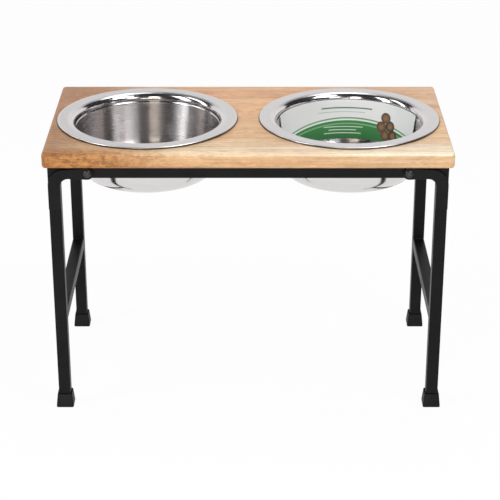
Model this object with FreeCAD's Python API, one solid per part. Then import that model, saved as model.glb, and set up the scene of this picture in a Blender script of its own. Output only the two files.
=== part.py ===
"""Raised pet feeder: a wood board with two lift-out steel bowls on a folding stand of square steel tube.

Millimetres, +Z up, +X to the right, front at -Y. The origin is on the floor under the middle of the board.
Each leg frame hangs on two pivot bolts in the long rails and folds inwards under the board.
"""

import FreeCAD, Part
import math
import os

# Bowls
rim_diameter = 229.0
rim_gap = 28.0                # between the rims of the two bowls
flange_width = 22.0           # rim to the inside of the mouth
bowl_depth = 75.0             # top of the flange to the underside
bowl_wall = 0.8
rim_bead = 2.3                # thickness of the rolled edge
rim_hem = 2.5                 # rolled edge, inwards under the flange
throat_bend_radius = 8.0
shoulder_depth = 10.5         # top of the flange to the shoulder
shoulder_step = 1.2
shoulder_bend_share = 1.1     # bend radius as a share of the step
upper_band_taper = 0.4        # radius lost between the throat and the shoulder
lower_wall_taper = 5.0        # radius lost between the shoulder and the base
base_bend_radius = 17.0
base_dome_diameter = 84.0
base_dome_rise = 1.6
base_dome_slope = 4.0
base_dome_bend_radius = 3.0
bowl_hole_gap = 1.0           # bend under the flange to the edge of the hole
bowl_seat_gap = 0.2           # rolled edge to the board

# Card that stands in the right bowl
card_thickness = 0.5
card_wall_gap = 0.7
card_rise = 3.5               # card above the bowl's shoulder
card_foot_height = 6.0        # inside of the base up to the card's lower edge
card_turn = 150.0             # degrees round the back of the bowl

# Board
stand_height = 350.0          # floor to the top of the board
board_thickness = 19.0
rim_front_margin = 15.5       # rim of a bowl to the front of the board
board_corner_radius = 5.0     # corners seen from above
board_edge_radius = 3.5       # eased top and bottom arrises
hole_edge_radius = 1.5        # eased top arris of the bowl holes

# Square tube of the rails, legs and stretchers
tube_size = 15.0
tube_wall = 1.2
tube_edge_radius = 1.2
bore_edge_share = 0.5         # edge radius inside the tube as a share of the one outside

# Frame under the board
rail_bowl_gap = 7.6           # end rail to the shoulder of the bowl
frame_inset_end = 6.0         # board end to the outside of the end rail
frame_inset_front = 7.5       # board front to the outside of the front rail

# Folding leg frames
pivot_inset = 48.5            # outside of the end rail to the pivot bolt
pivot_lowering = 0.7          # middle of the rail down to the pivot bolt
stop_gap = 0.3                # leg top to the frame that it stops against

# Foot caps
foot_wall = 1.8               # cap around the leg at its top
foot_flare = 1.7              # how far the base stands out past the top
foot_height = 18.0
foot_sole = 3.0
foot_band = 2.5               # upright band at the base
foot_corner_radius = 2.0
foot_socket_gap = 0.1         # leg to the walls of its socket

# Fold brackets
bracket_thickness = 3.0
bracket_drop = 47.5           # pivot bolt down to the bracket's lower end
bracket_arm_height = 10.5
bracket_arm_lift = 0.5        # underside of the rail up to the underside of the arm
bracket_inner_radius = 10.0
bracket_outer_radius = 21.0
bracket_end_radius = 2.0
bracket_edge_radius = 0.9
bracket_board_gap = 0.7       # eye to the underside of the board
bracket_rail_gap = 1.0        # bracket to the face of the rail, filled by a washer

# Pivot bolts, washers and nuts
bolt_diameter = 5.0
bolt_head_diameter = 9.6
bolt_head_height = 2.9
bolt_head_edge = 0.6          # straight edge under the dome
bolt_running_gap = 0.05       # radial, bolt in the bracket eye
bolt_hole_gap = 0.1           # radial, bolt in the rail and the washer
bolt_end_length = 1.5         # bolt past the nut
bolt_tip = 0.7
washer_diameter = 11.0
side_play = 0.1               # bolt head and washer to the moving bracket
nut_width = 8.0               # across flats
nut_height = 4.0
nut_collar_height = 1.6
nut_collar_diameter = 7.2
nut_thread_gap = 0.05

# Screws that hold the board
screw_diameter = 3.5
screw_head_diameter = 7.0
screw_head_height = 2.4
screw_head_edge = 0.5
screw_bite = 12.0             # depth in the board
screw_tip = 3.0
screw_gap = 0.1
screw_pivot_offset = 40.0     # outer screws, inwards from the pivot bolts
tip_share = 0.5               # radius at the end of a tip as a share of the shank

cut_overrun = 1.0             # how far a cutting tool passes a face
shortest_edge = 0.001

# Places that follow from the sizes
bowl_x = (rim_diameter + rim_gap) / 2
throat_radius = rim_diameter / 2 - flange_width
hole_radius = throat_radius + bowl_wall + throat_bend_radius + bowl_hole_gap
shoulder_radius = throat_radius + bowl_wall - upper_band_taper
flange_top = stand_height + bowl_seat_gap + rim_bead
frame_half_length = bowl_x + shoulder_radius + rail_bowl_gap + tube_size
board_length = 2 * (frame_half_length + frame_inset_end)
board_depth = rim_diameter + 2 * rim_front_margin
board_bottom = stand_height - board_thickness
frame_half_depth = board_depth / 2 - frame_inset_front
rail_bottom = board_bottom - tube_size
rail_middle = board_bottom - tube_size / 2
rail_y = frame_half_depth - tube_size / 2
pivot_x = frame_half_length - pivot_inset
pivot_z = rail_middle - pivot_lowering
leg_x = frame_half_length - tube_size / 2
leg_face_y = frame_half_depth + bracket_rail_gap
leg_y = leg_face_y - tube_size / 2
leg_top = rail_bottom - stop_gap
stretcher_z = pivot_z - pivot_x   # folds into the gap between the bowls
screw_x = pivot_x - screw_pivot_offset
screw_places = [(x, y) for y in (-rail_y, rail_y) for x in (-screw_x, 0, screw_x)]
SIDES = {"left": -1, "right": 1}
ENDS = {"front": -1, "rear": 1}

X_AXIS = FreeCAD.Vector(1, 0, 0)
Y_AXIS = FreeCAD.Vector(0, 1, 0)
Z_AXIS = FreeCAD.Vector(0, 0, 1)
ORIGIN = FreeCAD.Vector(0, 0, 0)
QUARTER_TURN = 90
FULL_TURN = 360
NUT_SIDES = 6


def vector(x, y, z):
    return FreeCAD.Vector(x, y, z)


def line(start, end):
    return Part.LineSegment(start, end).toShape()


def arc(start, through, end):
    return Part.Arc(start, through, end).toShape()


def wire(edges):
    return Part.Wire(Part.__sortEdges__(edges))


def moved(shape, x, y, z):
    shape.translate(vector(x, y, z))
    return shape


def group(solids):
    return Part.makeCompound(solids)


def rounded_path(points, radii):
    """Edges along a polyline, with each inner corner rounded by its radius."""
    edges = []
    last = points[0]
    for before, corner, after, radius in zip(points, points[1:], points[2:], radii):
        back = (before - corner).normalize()
        ahead = (after - corner).normalize()
        half_angle = back.getAngle(ahead) / 2
        reach = radius / math.tan(half_angle)
        crown_reach = radius / math.sin(half_angle) - radius
        start = corner + back * reach
        end = corner + ahead * reach
        crown = corner + (back + ahead).normalize() * crown_reach
        if last.distanceToPoint(start) > shortest_edge:
            edges.append(line(last, start))
        edges.append(arc(start, crown, end))
        last = end
    if last.distanceToPoint(points[-1]) > shortest_edge:
        edges.append(line(last, points[-1]))
    return edges


def rounded_rectangle(length, depth, radius, z):
    """Closed outline in a level plane, centred on the Z axis."""
    x = length / 2
    y = depth / 2
    corners = [vector(x, -y, z), vector(x, y, z), vector(-x, y, z), vector(-x, -y, z)]
    front = vector(0, -y, z)
    return wire(rounded_path([front] + corners + [front], [radius] * len(corners)))


def square_bar(size, radius, z_start, z_end):
    """Upright solid bar with rounded edges, centred on the Z axis."""
    face = Part.Face(rounded_rectangle(size, size, radius, z_start))
    return face.extrude(vector(0, 0, z_end - z_start))


def tube_bore(z_start, z_end):
    return square_bar(tube_size - 2 * tube_wall, tube_edge_radius * bore_edge_share, z_start, z_end)


def square_tube(length):
    """Open tube that stands on the origin."""
    bar = square_bar(tube_size, tube_edge_radius, 0, length)
    return bar.cut(tube_bore(-cut_overrun, length + cut_overrun))


def upright_rod(radius, x, y, z_start, z_end):
    return Part.makeCylinder(radius, z_end - z_start, vector(x, y, z_start), Z_AXIS)


def domed_pin(radius, length, head_radius, head_height, head_edge, tip):
    """Pin up the Z axis, with its domed head below the origin and a tapered tip."""
    rise = head_height - head_edge
    dome_radius = (head_radius**2 + rise**2) / (2 * rise)
    half_angle = math.asin(head_radius / dome_radius) / 2
    dome_x = dome_radius * math.sin(half_angle)
    dome_z = dome_radius * (1 - math.cos(half_angle)) - head_height
    crown = vector(0, 0, -head_height)
    corners = [
        vector(head_radius, 0, -head_edge),
        vector(head_radius, 0, 0),
        vector(radius, 0, 0),
        vector(radius, 0, length - tip),
        vector(radius * tip_share, 0, length),
        vector(0, 0, length),
        crown,
    ]
    edges = [line(start, end) for start, end in zip(corners, corners[1:])]
    edges.append(arc(crown, vector(dome_x, 0, dome_z), corners[0]))
    return Part.Face(wire(edges)).revolve(ORIGIN, Z_AXIS, FULL_TURN)


def wood_top():
    """Board with eased arrises, a hole for each bowl and pilot holes for the screws."""
    outline = rounded_rectangle(board_length, board_depth, board_corner_radius, board_bottom)
    board = Part.Face(outline).extrude(vector(0, 0, board_thickness))
    arrises = [edge for edge in board.Edges if edge.BoundBox.ZLength < shortest_edge]
    board = board.makeFillet(board_edge_radius, arrises)
    for side in SIDES.values():
        low = board_bottom - cut_overrun
        high = stand_height + cut_overrun
        board = board.cut(upright_rod(hole_radius, side * bowl_x, 0, low, high))
    mouths = [
        edge
        for edge in board.Edges
        if isinstance(edge.Curve, Part.Circle)
        and abs(edge.Curve.Radius - hole_radius) < shortest_edge
        and abs(edge.Curve.Center.z - stand_height) < shortest_edge
    ]
    board = board.makeFillet(hole_edge_radius, mouths)
    pilot_radius = screw_diameter / 2 + screw_gap
    pilot_top = board_bottom + screw_bite + screw_gap
    for x, y in screw_places:
        board = board.cut(upright_rod(pilot_radius, x, y, board_bottom - cut_overrun, pilot_top))
    return board


def mitred_rail(half_length, distance):
    """Tube along X with its outer face `distance` in front of the origin, both ends mitred inwards."""
    rail = square_tube(2 * half_length)
    rail.rotate(ORIGIN, Y_AXIS, QUARTER_TURN)
    moved(rail, -half_length, tube_size / 2 - distance, rail_middle)
    for side in SIDES.values():
        cutter = Part.makeBox(2 * tube_size, 2 * tube_size, tube_size + 2 * cut_overrun)
        cutter.rotate(ORIGIN, Z_AXIS, QUARTER_TURN / 2)
        rail = rail.cut(moved(cutter, side * half_length, -distance, rail_bottom - cut_overrun))
    return rail


def long_rail(end):
    """Front or rear rail, drilled for the pivot bolts and the board screws."""
    rail = mitred_rail(frame_half_length, frame_half_depth)
    bolt_radius = bolt_diameter / 2 + bolt_hole_gap
    screw_radius = screw_diameter / 2 + screw_gap
    for side in SIDES.values():
        start = vector(side * pivot_x, -frame_half_depth - cut_overrun, pivot_z)
        rail = rail.cut(Part.makeCylinder(bolt_radius, tube_size + 2 * cut_overrun, start, Y_AXIS))
    for x in (-screw_x, 0, screw_x):
        low = rail_bottom - cut_overrun
        rail = rail.cut(upright_rod(screw_radius, x, -rail_y, low, board_bottom + cut_overrun))
    if end > 0:
        rail.rotate(ORIGIN, Z_AXIS, 2 * QUARTER_TURN)
    return rail


def end_rail(side):
    rail = mitred_rail(frame_half_depth, frame_half_length)
    rail.rotate(ORIGIN, Z_AXIS, side * QUARTER_TURN)
    return rail


def leg(side, end):
    """Leg tube, closed at the top where it stops against the frame, open in the foot cap."""
    bar = square_bar(tube_size, tube_edge_radius, foot_sole, leg_top)
    hollow = bar.cut(tube_bore(foot_sole - cut_overrun, leg_top - tube_wall))
    return moved(hollow, side * leg_x, end * leg_y, 0)


def stretcher(side):
    inner_face = leg_y - tube_size / 2
    tube = square_tube(2 * inner_face)
    tube.rotate(ORIGIN, X_AXIS, -QUARTER_TURN)
    return moved(tube, side * leg_x, -inner_face, stretcher_z)


def foot(side, end):
    """Flared cap with a socket for the leg."""
    top_size = tube_size + 2 * foot_wall
    base_size = top_size + 2 * foot_flare
    levels = [(base_size, 0), (base_size, foot_band), (top_size, foot_height)]
    outlines = [rounded_rectangle(size, size, foot_corner_radius, z) for size, z in levels]
    cap = Part.makeLoft(outlines, True, True)
    socket_size = tube_size + 2 * foot_socket_gap
    socket_radius = tube_edge_radius + foot_socket_gap
    socket = square_bar(socket_size, socket_radius, foot_sole, foot_height + cut_overrun)
    return moved(cap.cut(socket), side * leg_x, end * leg_y, 0)


def tangent_point(outside, radius, turn):
    """Where a line from `outside` touches a circle about the origin, on its left (1) or right (-1)."""
    spread = math.acos(radius / math.hypot(*outside))
    angle = math.atan2(outside[1], outside[0]) + turn * spread
    return radius * math.cos(angle), radius * math.sin(angle)


def bracket(side, end):
    """L-shaped plate on the outer face of a leg, with an eye for the pivot bolt."""
    arm_low = rail_bottom + bracket_arm_lift - pivot_z
    eye_radius = board_bottom - bracket_board_gap - pivot_z
    inner = pivot_inset - tube_size
    outer = pivot_inset
    knee_in = (inner, arm_low)
    knee_out = (outer, arm_low + bracket_arm_height)
    eye_low = tangent_point(knee_in, eye_radius, -1)
    eye_high = tangent_point(knee_out, eye_radius, 1)
    corners = [eye_low, knee_in, (inner, -bracket_drop), (outer, -bracket_drop), knee_out, eye_high]
    radii = [bracket_inner_radius, bracket_end_radius, bracket_end_radius, bracket_outer_radius]
    outer_face = end * (leg_face_y + bracket_thickness)

    def place(out, up):
        return vector(side * (pivot_x + out), outer_face, pivot_z + up)

    edges = rounded_path([place(*corner) for corner in corners], radii)
    edges.append(arc(place(*eye_high), place(-eye_radius, 0), place(*eye_low)))
    plate = Part.Face(wire(edges)).extrude(vector(0, -end * bracket_thickness, 0))
    rim = [edge for edge in plate.Edges if abs(edge.CenterOfMass.y - outer_face) < shortest_edge]
    plate = plate.makeFillet(bracket_edge_radius, rim)
    eye_start = vector(side * pivot_x, outer_face + end * cut_overrun, pivot_z)
    eye_length = bracket_thickness + 2 * cut_overrun
    eye_bore = bolt_diameter / 2 + bolt_running_gap
    return plate.cut(Part.makeCylinder(eye_bore, eye_length, eye_start, Y_AXIS * -end))


def at_pivots(piece, distance):
    """A copy at each pivot, with the piece's +Z turned inwards and its base `distance` from the middle."""
    copies = []
    for side in SIDES.values():
        for end in ENDS.values():
            copied = piece.copy()
            copied.rotate(ORIGIN, X_AXIS, end * QUARTER_TURN)
            copies.append(moved(copied, side * pivot_x, end * distance, pivot_z))
    return group(copies)


def pivot_bolts():
    clamped = side_play + bracket_thickness + bracket_rail_gap + tube_size
    length = clamped + nut_height + nut_collar_height + bolt_end_length
    head = (bolt_head_diameter / 2, bolt_head_height, bolt_head_edge)
    bolt = domed_pin(bolt_diameter / 2, length, *head, bolt_tip)
    return at_pivots(bolt, leg_face_y + bracket_thickness + side_play)


def pivot_washers():
    thickness = bracket_rail_gap - side_play
    bore = upright_rod(bolt_diameter / 2 + bolt_hole_gap, 0, 0, -cut_overrun, thickness + cut_overrun)
    washer = upright_rod(washer_diameter / 2, 0, 0, 0, thickness).cut(bore)
    return at_pivots(washer, frame_half_depth + thickness)


def pivot_nuts():
    """Lock nuts with a round collar, on the inner face of the long rails."""
    corner_radius = nut_width / 2 / math.cos(math.pi / NUT_SIDES)
    height = nut_height + nut_collar_height
    turns = [math.radians(FULL_TURN * step / NUT_SIDES) for step in range(NUT_SIDES)]
    corners = [vector(corner_radius * math.cos(turn), corner_radius * math.sin(turn), 0) for turn in turns]
    hexagon = Part.Face(Part.makePolygon(corners + corners[:1])).extrude(vector(0, 0, nut_height))
    collar = upright_rod(nut_collar_diameter / 2, 0, 0, 0, height)
    bore = upright_rod(bolt_diameter / 2 + nut_thread_gap, 0, 0, -cut_overrun, height + cut_overrun)
    nut = hexagon.fuse(collar).cut(bore).removeSplitter()
    return at_pivots(nut, frame_half_depth - tube_size)


def board_screws():
    head = (screw_head_diameter / 2, screw_head_height, screw_head_edge)
    screw = domed_pin(screw_diameter / 2, tube_size + screw_bite, *head, screw_tip)
    return group([moved(screw.copy(), x, y, rail_bottom) for x, y in screw_places])


def bowl_line():
    """Middle line of the bowl's sheet from its axis out to the hem: corners and bend radii."""
    flange_z = flange_top - bowl_wall / 2
    hem_z = flange_top - rim_bead + bowl_wall / 2
    base_z = flange_top - bowl_depth + bowl_wall / 2
    shoulder_z = flange_top - shoulder_depth
    rim_r = rim_diameter / 2 - bowl_wall / 2
    throat_r = throat_radius + bowl_wall / 2
    shoulder_r = throat_r - upper_band_taper
    wall_r = shoulder_r - shoulder_step
    base_r = wall_r - lower_wall_taper
    dome_r = base_dome_diameter / 2
    corners = [
        (0, base_z + base_dome_rise),
        (dome_r, base_z + base_dome_rise),
        (dome_r + base_dome_slope, base_z),
        (base_r, base_z),
        (wall_r, shoulder_z - shoulder_step),
        (shoulder_r, shoulder_z),
        (throat_r, flange_z),
        (rim_r, flange_z),
        (rim_r, hem_z),
        (rim_r - rim_hem, hem_z),
    ]
    curl = (rim_bead - bowl_wall) / 2
    shoulder_bend = shoulder_step * shoulder_bend_share
    bends = [base_dome_bend_radius, base_dome_bend_radius, base_bend_radius]
    bends += [shoulder_bend, shoulder_bend, throat_bend_radius, curl, curl]
    return [vector(r, 0, z) for r, z in corners], bends


def sheet_side(offset):
    """One face of the bowl's sheet: its middle line moved by `offset`, to the left of its run."""
    corners, bends = bowl_line()
    runs = [(after - before).normalize() for before, after in zip(corners, corners[1:])]
    lefts = [vector(-run.z, 0, run.x) for run in runs]
    shifted = [corners[0] + lefts[0] * offset]
    radii = []
    for corner, bend, run, left, next_left in zip(corners[1:], bends, runs, lefts, lefts[1:]):
        shifted.append(corner + (left + next_left) * (offset / (1 + left.dot(next_left))))
        turn = math.copysign(1, -run.dot(next_left))
        radii.append(bend - turn * offset)
    shifted.append(corners[-1] + lefts[-1] * offset)
    return shifted, radii


def bowl(side):
    """Pressed sheet bowl: both faces of the bent sheet, closed at its ends and turned about its axis."""
    inside, inside_bends = sheet_side(bowl_wall / 2)
    outside, outside_bends = sheet_side(-bowl_wall / 2)
    edges = rounded_path(inside, inside_bends) + rounded_path(outside, outside_bends)
    edges += [line(inside[0], outside[0]), line(inside[-1], outside[-1])]
    shell = Part.Face(wire(edges)).revolve(ORIGIN, Z_AXIS, FULL_TURN)
    return moved(shell, side * bowl_x, 0, 0)


def card_insert():
    """Curved card round the back of the right bowl, on the bend of its base and against its shoulder."""
    inside, inside_bends = sheet_side(bowl_wall / 2)
    floor_point, base_corner, shoulder = inside[2:5]
    base_bend = inside_bends[2]
    back = (floor_point - base_corner).normalize()
    ahead = (shoulder - base_corner).normalize()
    bend_reach = base_bend / math.sin(back.getAngle(ahead) / 2)
    bend_centre = base_corner + (back + ahead).normalize() * bend_reach
    foot_z = floor_point.z + card_foot_height
    foot_r = bend_centre.x + math.sqrt(base_bend**2 - (foot_z - bend_centre.z) ** 2)
    gap = vector(-card_wall_gap, 0, 0)
    low = vector(foot_r, 0, foot_z) + gap
    lean = (shoulder + gap - low).normalize()
    high = low + lean * ((shoulder.z + card_rise - low.z) / lean.z)
    inwards = vector(-lean.z, 0, lean.x) * card_thickness
    section = Part.Face(Part.makePolygon([low, high, high + inwards, low + inwards, low]))
    card = section.revolve(ORIGIN, Z_AXIS, card_turn)
    card.rotate(ORIGIN, Z_AXIS, QUARTER_TURN - card_turn / 2)
    return moved(card, bowl_x, 0, 0)


def feeder():
    nodes = {
        "wood_top": wood_top(),
        "board_screws": board_screws(),
        "pivot_bolts": pivot_bolts(),
        "pivot_washers": pivot_washers(),
        "pivot_nuts": pivot_nuts(),
        "card_insert": card_insert(),
    }
    for end_name, end in ENDS.items():
        nodes[f"{end_name}_rail"] = long_rail(end)
    for side_name, side in SIDES.items():
        nodes[f"{side_name}_end_rail"] = end_rail(side)
        nodes[f"{side_name}_bowl"] = bowl(side)
        nodes[f"{side_name}_stretcher"] = stretcher(side)
        for end_name, end in ENDS.items():
            nodes[f"{side_name}_{end_name}_leg"] = leg(side, end)
            nodes[f"{side_name}_{end_name}_foot"] = foot(side, end)
            nodes[f"{side_name}_{end_name}_bracket"] = bracket(side, end)
    return nodes


os.makedirs("parts", exist_ok=True)
for name, shape in feeder().items():
    shape.exportStep(f"parts/{name}.step")
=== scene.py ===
"""Raised pet feeder: a wood board with two steel bowls on a folding stand of black square tube."""

import math

import bmesh
import bpy
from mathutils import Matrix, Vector


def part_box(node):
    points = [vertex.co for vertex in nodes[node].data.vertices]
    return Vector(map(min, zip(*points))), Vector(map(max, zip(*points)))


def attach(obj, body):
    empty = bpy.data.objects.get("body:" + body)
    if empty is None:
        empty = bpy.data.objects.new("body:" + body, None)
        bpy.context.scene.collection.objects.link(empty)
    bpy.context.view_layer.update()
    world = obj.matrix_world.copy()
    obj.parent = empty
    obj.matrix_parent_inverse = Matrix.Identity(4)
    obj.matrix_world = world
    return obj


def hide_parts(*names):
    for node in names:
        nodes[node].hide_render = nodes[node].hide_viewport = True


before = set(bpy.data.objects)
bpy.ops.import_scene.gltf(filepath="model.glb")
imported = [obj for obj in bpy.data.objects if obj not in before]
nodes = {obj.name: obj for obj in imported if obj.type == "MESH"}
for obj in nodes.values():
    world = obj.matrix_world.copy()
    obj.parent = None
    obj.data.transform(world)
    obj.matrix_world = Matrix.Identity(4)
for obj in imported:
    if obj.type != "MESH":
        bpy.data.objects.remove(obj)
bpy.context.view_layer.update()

# Sizes in metres; the rest follows from the frame
MM = 0.001
BOARD_CORNER = 5.0 * MM
BOARD_CORNER_STEPS = 6
BOARD_ARRIS = 3.5 * MM
BOARD_ARRIS_STEPS = 5
HOLE_ARRIS = 1.5 * MM
HOLE_ARRIS_STEPS = 3
HOLE_SETBACK = 12.2 * MM         # rim of a bowl to the edge of its hole
HOLE_STEPS = 128

SHEET = 0.8 * MM
FLANGE_WIDTH = 22.0 * MM
RIM_BEAD = 2.3 * MM
RIM_HEM = 2.5 * MM
THROAT_BEND = 8.0 * MM
SHOULDER_DEPTH = 10.5 * MM
SHOULDER_STEP = 1.2 * MM
SHOULDER_BEND = 1.32 * MM
UPPER_TAPER = 0.4 * MM
LOWER_TAPER = 5.0 * MM
BASE_BEND = 17.0 * MM
DOME_RADIUS = 42.0 * MM
DOME_RISE = 1.6 * MM
DOME_SLOPE = 4.0 * MM
DOME_BEND = 3.0 * MM
BOWL_STEPS = 160
LONGEST_RUN = 3.5 * MM           # between two points on a straight stretch of the sheet
BEND_STEP = math.radians(9)
LEAST_BEND_STEPS = 3

CARD_THICKNESS = 0.5 * MM
CARD_TURN = math.radians(150)
CARD_STEPS = 90
CARD_SHAPE = 3.8                 # length of the card's print against its height
CARD_ROWS = 15
CARD_CUT_ROWS = 2                # rows cut from the lower edge between the end tabs
CARD_TAB_TURN = math.radians(14)

FOOT_TOP_SHARE = 18.6 / 22.0     # width at the top of a foot cap against its base
FOOT_BAND = 2.5 * MM
FOOT_CORNER = 2.0 * MM
FOOT_CORNER_STEPS = 5
FOOT_LIP = 1.6 * MM
FOOT_SOCKET_DEPTH = 6.0 * MM
FOOT_EASE = 0.45 * MM
FOOT_EASE_STEPS = 3

BEAD_RADIUS = 1.3 * MM
BEAD_SIDES = 10
BEAD_RIPPLES = 11
BEAD_SWELL = 1.16
STRETCHER_BEAD_INSET = 1.0 * MM
BRACKET_BEAD_INSET = 2.0 * MM
BEAD_SMOOTH_ANGLE = math.radians(80)

SMOOTH_ANGLE = math.radians(32)
CREASE_ANGLE = math.radians(5)
CLOSE = 0.01 * MM
STEEP = 0.5                      # upward share of a steep edge's direction
LEVEL = 0.05                     # and of a level one's
FULL_TURN = 2 * math.pi
SIDES = ("left", "right")
ENDS = ("front", "rear")


# Working by hand in edit mode

def put_down():
    """Nothing is selected, so the next operator acts on the new piece alone."""
    if bpy.context.mode != "OBJECT":
        bpy.ops.object.mode_set(mode="OBJECT")
    bpy.ops.object.select_all(action="DESELECT")


def named(name):
    piece = bpy.context.active_object
    piece.name = name
    piece.data.name = name
    return piece


def pick_up(piece):
    put_down()
    bpy.context.view_layer.objects.active = piece
    piece.select_set(True)


def edit(piece):
    pick_up(piece)
    bpy.ops.object.mode_set(mode="EDIT")


def choose(piece, kind, wanted):
    """Selects the vertices, edges or faces that pass the test."""
    bpy.ops.mesh.select_mode(type=kind)
    bpy.ops.mesh.select_all(action="DESELECT")
    mesh = bmesh.from_edit_mesh(piece.data)
    for element in {"VERT": mesh.verts, "EDGE": mesh.edges, "FACE": mesh.faces}[kind]:
        if wanted(element):
            element.select_set(True)
    mesh.select_flush_mode()
    bmesh.update_edit_mesh(piece.data)


def middle(edge):
    return (edge.verts[0].co + edge.verts[1].co) / 2


def climb(edge):
    """Upward share of an edge's direction."""
    return abs((edge.verts[1].co - edge.verts[0].co).normalized().z)


def is_steep(edge):
    return climb(edge) > STEEP


def is_level(edge):
    return climb(edge) < LEVEL


def faces_up(face):
    return face.normal.z > 1 - LEVEL


def ease(offset, steps):
    bpy.ops.mesh.bevel(offset=offset, segments=steps, affect="EDGES")


def drag(offset):
    bpy.ops.mesh.extrude_region_move(TRANSFORM_OT_translate={"value": offset})


def apply_place():
    bpy.ops.object.transform_apply(location=True, rotation=True, scale=True)


def apply_modifier(piece, kind, **settings):
    pick_up(piece)
    modifier = piece.modifiers.new(kind.lower(), kind)
    for name, value in settings.items():
        setattr(modifier, name, value)
    bpy.ops.object.modifier_apply(modifier=modifier.name)


def turn_faces_out():
    bpy.ops.mesh.select_all(action="SELECT")
    bpy.ops.mesh.normals_make_consistent(inside=False)


def smooth(piece, angle=SMOOTH_ANGLE):
    pick_up(piece)
    bpy.ops.object.shade_smooth_by_angle(angle=angle)


def block(name, low, high):
    """A box between two corners, with its place in its mesh."""
    put_down()
    bpy.ops.mesh.primitive_cube_add(size=1, location=(low + high) / 2)
    piece = named(name)
    piece.scale = high - low
    apply_place()
    return piece


def first_point(name, place):
    """A plane drawn together into one vertex, from which a line is drawn."""
    put_down()
    bpy.ops.mesh.primitive_plane_add(size=MM)
    piece = named(name)
    edit(piece)
    bpy.ops.mesh.select_mode(type="VERT")
    bpy.ops.mesh.select_all(action="SELECT")
    bpy.ops.mesh.merge(type="CENTER")
    bpy.ops.transform.translate(value=place)
    return piece


def draw(points):
    """Draws a line on from the selected vertex, through points that start at that vertex."""
    for start, end in zip(points, points[1:]):
        drag(end - start)


def divided(start, end):
    """Points that divide a straight run into equal short lengths, without its first point."""
    run = (end - start).length
    if run <= CLOSE:
        return []
    count = math.ceil(run / LONGEST_RUN)
    return [start.lerp(end, step / count) for step in range(1, count + 1)]


def rounded(before, corner, after, bend):
    """Points of the arc that rounds a corner."""
    back = (before - corner).normalized()
    ahead = (after - corner).normalized()
    half = back.angle(ahead) / 2
    reach = bend / math.tan(half)
    centre = corner + (back + ahead).normalized() * (bend / math.sin(half))
    start_arm = corner + back * reach - centre
    end_arm = corner + ahead * reach - centre
    steps = max(LEAST_BEND_STEPS, math.ceil((math.pi - 2 * half) / BEND_STEP))
    return [centre + start_arm.slerp(end_arm, step / steps) * bend for step in range(steps + 1)]


def bent_line(corners, bends):
    """Points along a line with rounded corners and divided straight runs."""
    points = [corners[0]]
    for before, corner, after, bend in zip(corners, corners[1:], corners[2:], bends):
        arc = rounded(before, corner, after, bend)
        points += divided(points[-1], arc[0]) + arc[1:]
    return points + divided(points[-1], corners[-1])


# Board

def bowl_place(side):
    """Middle of a bowl, the radius of its rim and the height of its flange."""
    low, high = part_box(f"{side}_bowl")
    return (low + high) / 2, (high.x - low.x) / 2, high.z


def on_outline(edge):
    """Level edge where the board's side meets its top or its underside."""
    return is_level(edge) and len({round(face.normal.z) for face in edge.link_faces}) == 2


def wood_board():
    """Solid board with rounded corners, eased arrises and two bowl holes."""
    board = block("wood_board", *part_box("wood_top"))
    edit(board)
    choose(board, "EDGE", is_steep)
    ease(BOARD_CORNER, BOARD_CORNER_STEPS)
    choose(board, "EDGE", on_outline)
    ease(BOARD_ARRIS, BOARD_ARRIS_STEPS)
    for side in SIDES:
        cut_hole(board, side)
    smooth(board)
    return board


def cut_hole(board, side):
    """Hole for a bowl, with an eased mouth."""
    low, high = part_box("wood_top")
    centre, rim, _ = bowl_place(side)
    radius = rim - HOLE_SETBACK
    put_down()
    bpy.ops.mesh.primitive_cylinder_add(
        vertices=HOLE_STEPS, radius=radius, depth=4 * (high.z - low.z),
        location=(centre.x, centre.y, low.z))
    cutter = named("hole_cutter")
    apply_modifier(board, "BOOLEAN", operation="DIFFERENCE", object=cutter, solver="EXACT")

    def on_mouth(edge):
        on_hole = [abs((vert.co.xy - centre.xy).length - radius) < 10 * CLOSE for vert in edge.verts]
        return all(on_hole) and middle(edge).z > high.z - CLOSE

    edit(board)
    choose(board, "EDGE", on_mouth)
    ease(HOLE_ARRIS, HOLE_ARRIS_STEPS)
    put_down()
    bpy.data.objects.remove(cutter)


# Bowls

def bowl_profile(side):
    """Middle line of the pressed sheet, from the axis out to the hem under the flange."""
    low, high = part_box(f"{side}_bowl")
    axis_x = (low.x + high.x) / 2
    flange = high.z - SHEET / 2
    hem = high.z - RIM_BEAD + SHEET / 2
    base = low.z + SHEET / 2
    shoulder = high.z - SHOULDER_DEPTH
    rim = (high.x - low.x) / 2 - SHEET / 2
    throat = rim - FLANGE_WIDTH + SHEET
    shoulder_r = throat - UPPER_TAPER
    wall_r = shoulder_r - SHOULDER_STEP
    corners = [
        (0, base + DOME_RISE),
        (DOME_RADIUS, base + DOME_RISE),
        (DOME_RADIUS + DOME_SLOPE, base),
        (wall_r - LOWER_TAPER, base),
        (wall_r, shoulder - SHOULDER_STEP),
        (shoulder_r, shoulder),
        (throat, flange),
        (rim, flange),
        (rim, hem),
        (rim - RIM_HEM, hem),
    ]
    curl = (RIM_BEAD - SHEET) / 2
    bends = [DOME_BEND, DOME_BEND, BASE_BEND, SHOULDER_BEND, SHOULDER_BEND, THROAT_BEND, curl, curl]
    return [Vector((axis_x + r, 0, z)) for r, z in corners], bends


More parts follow.
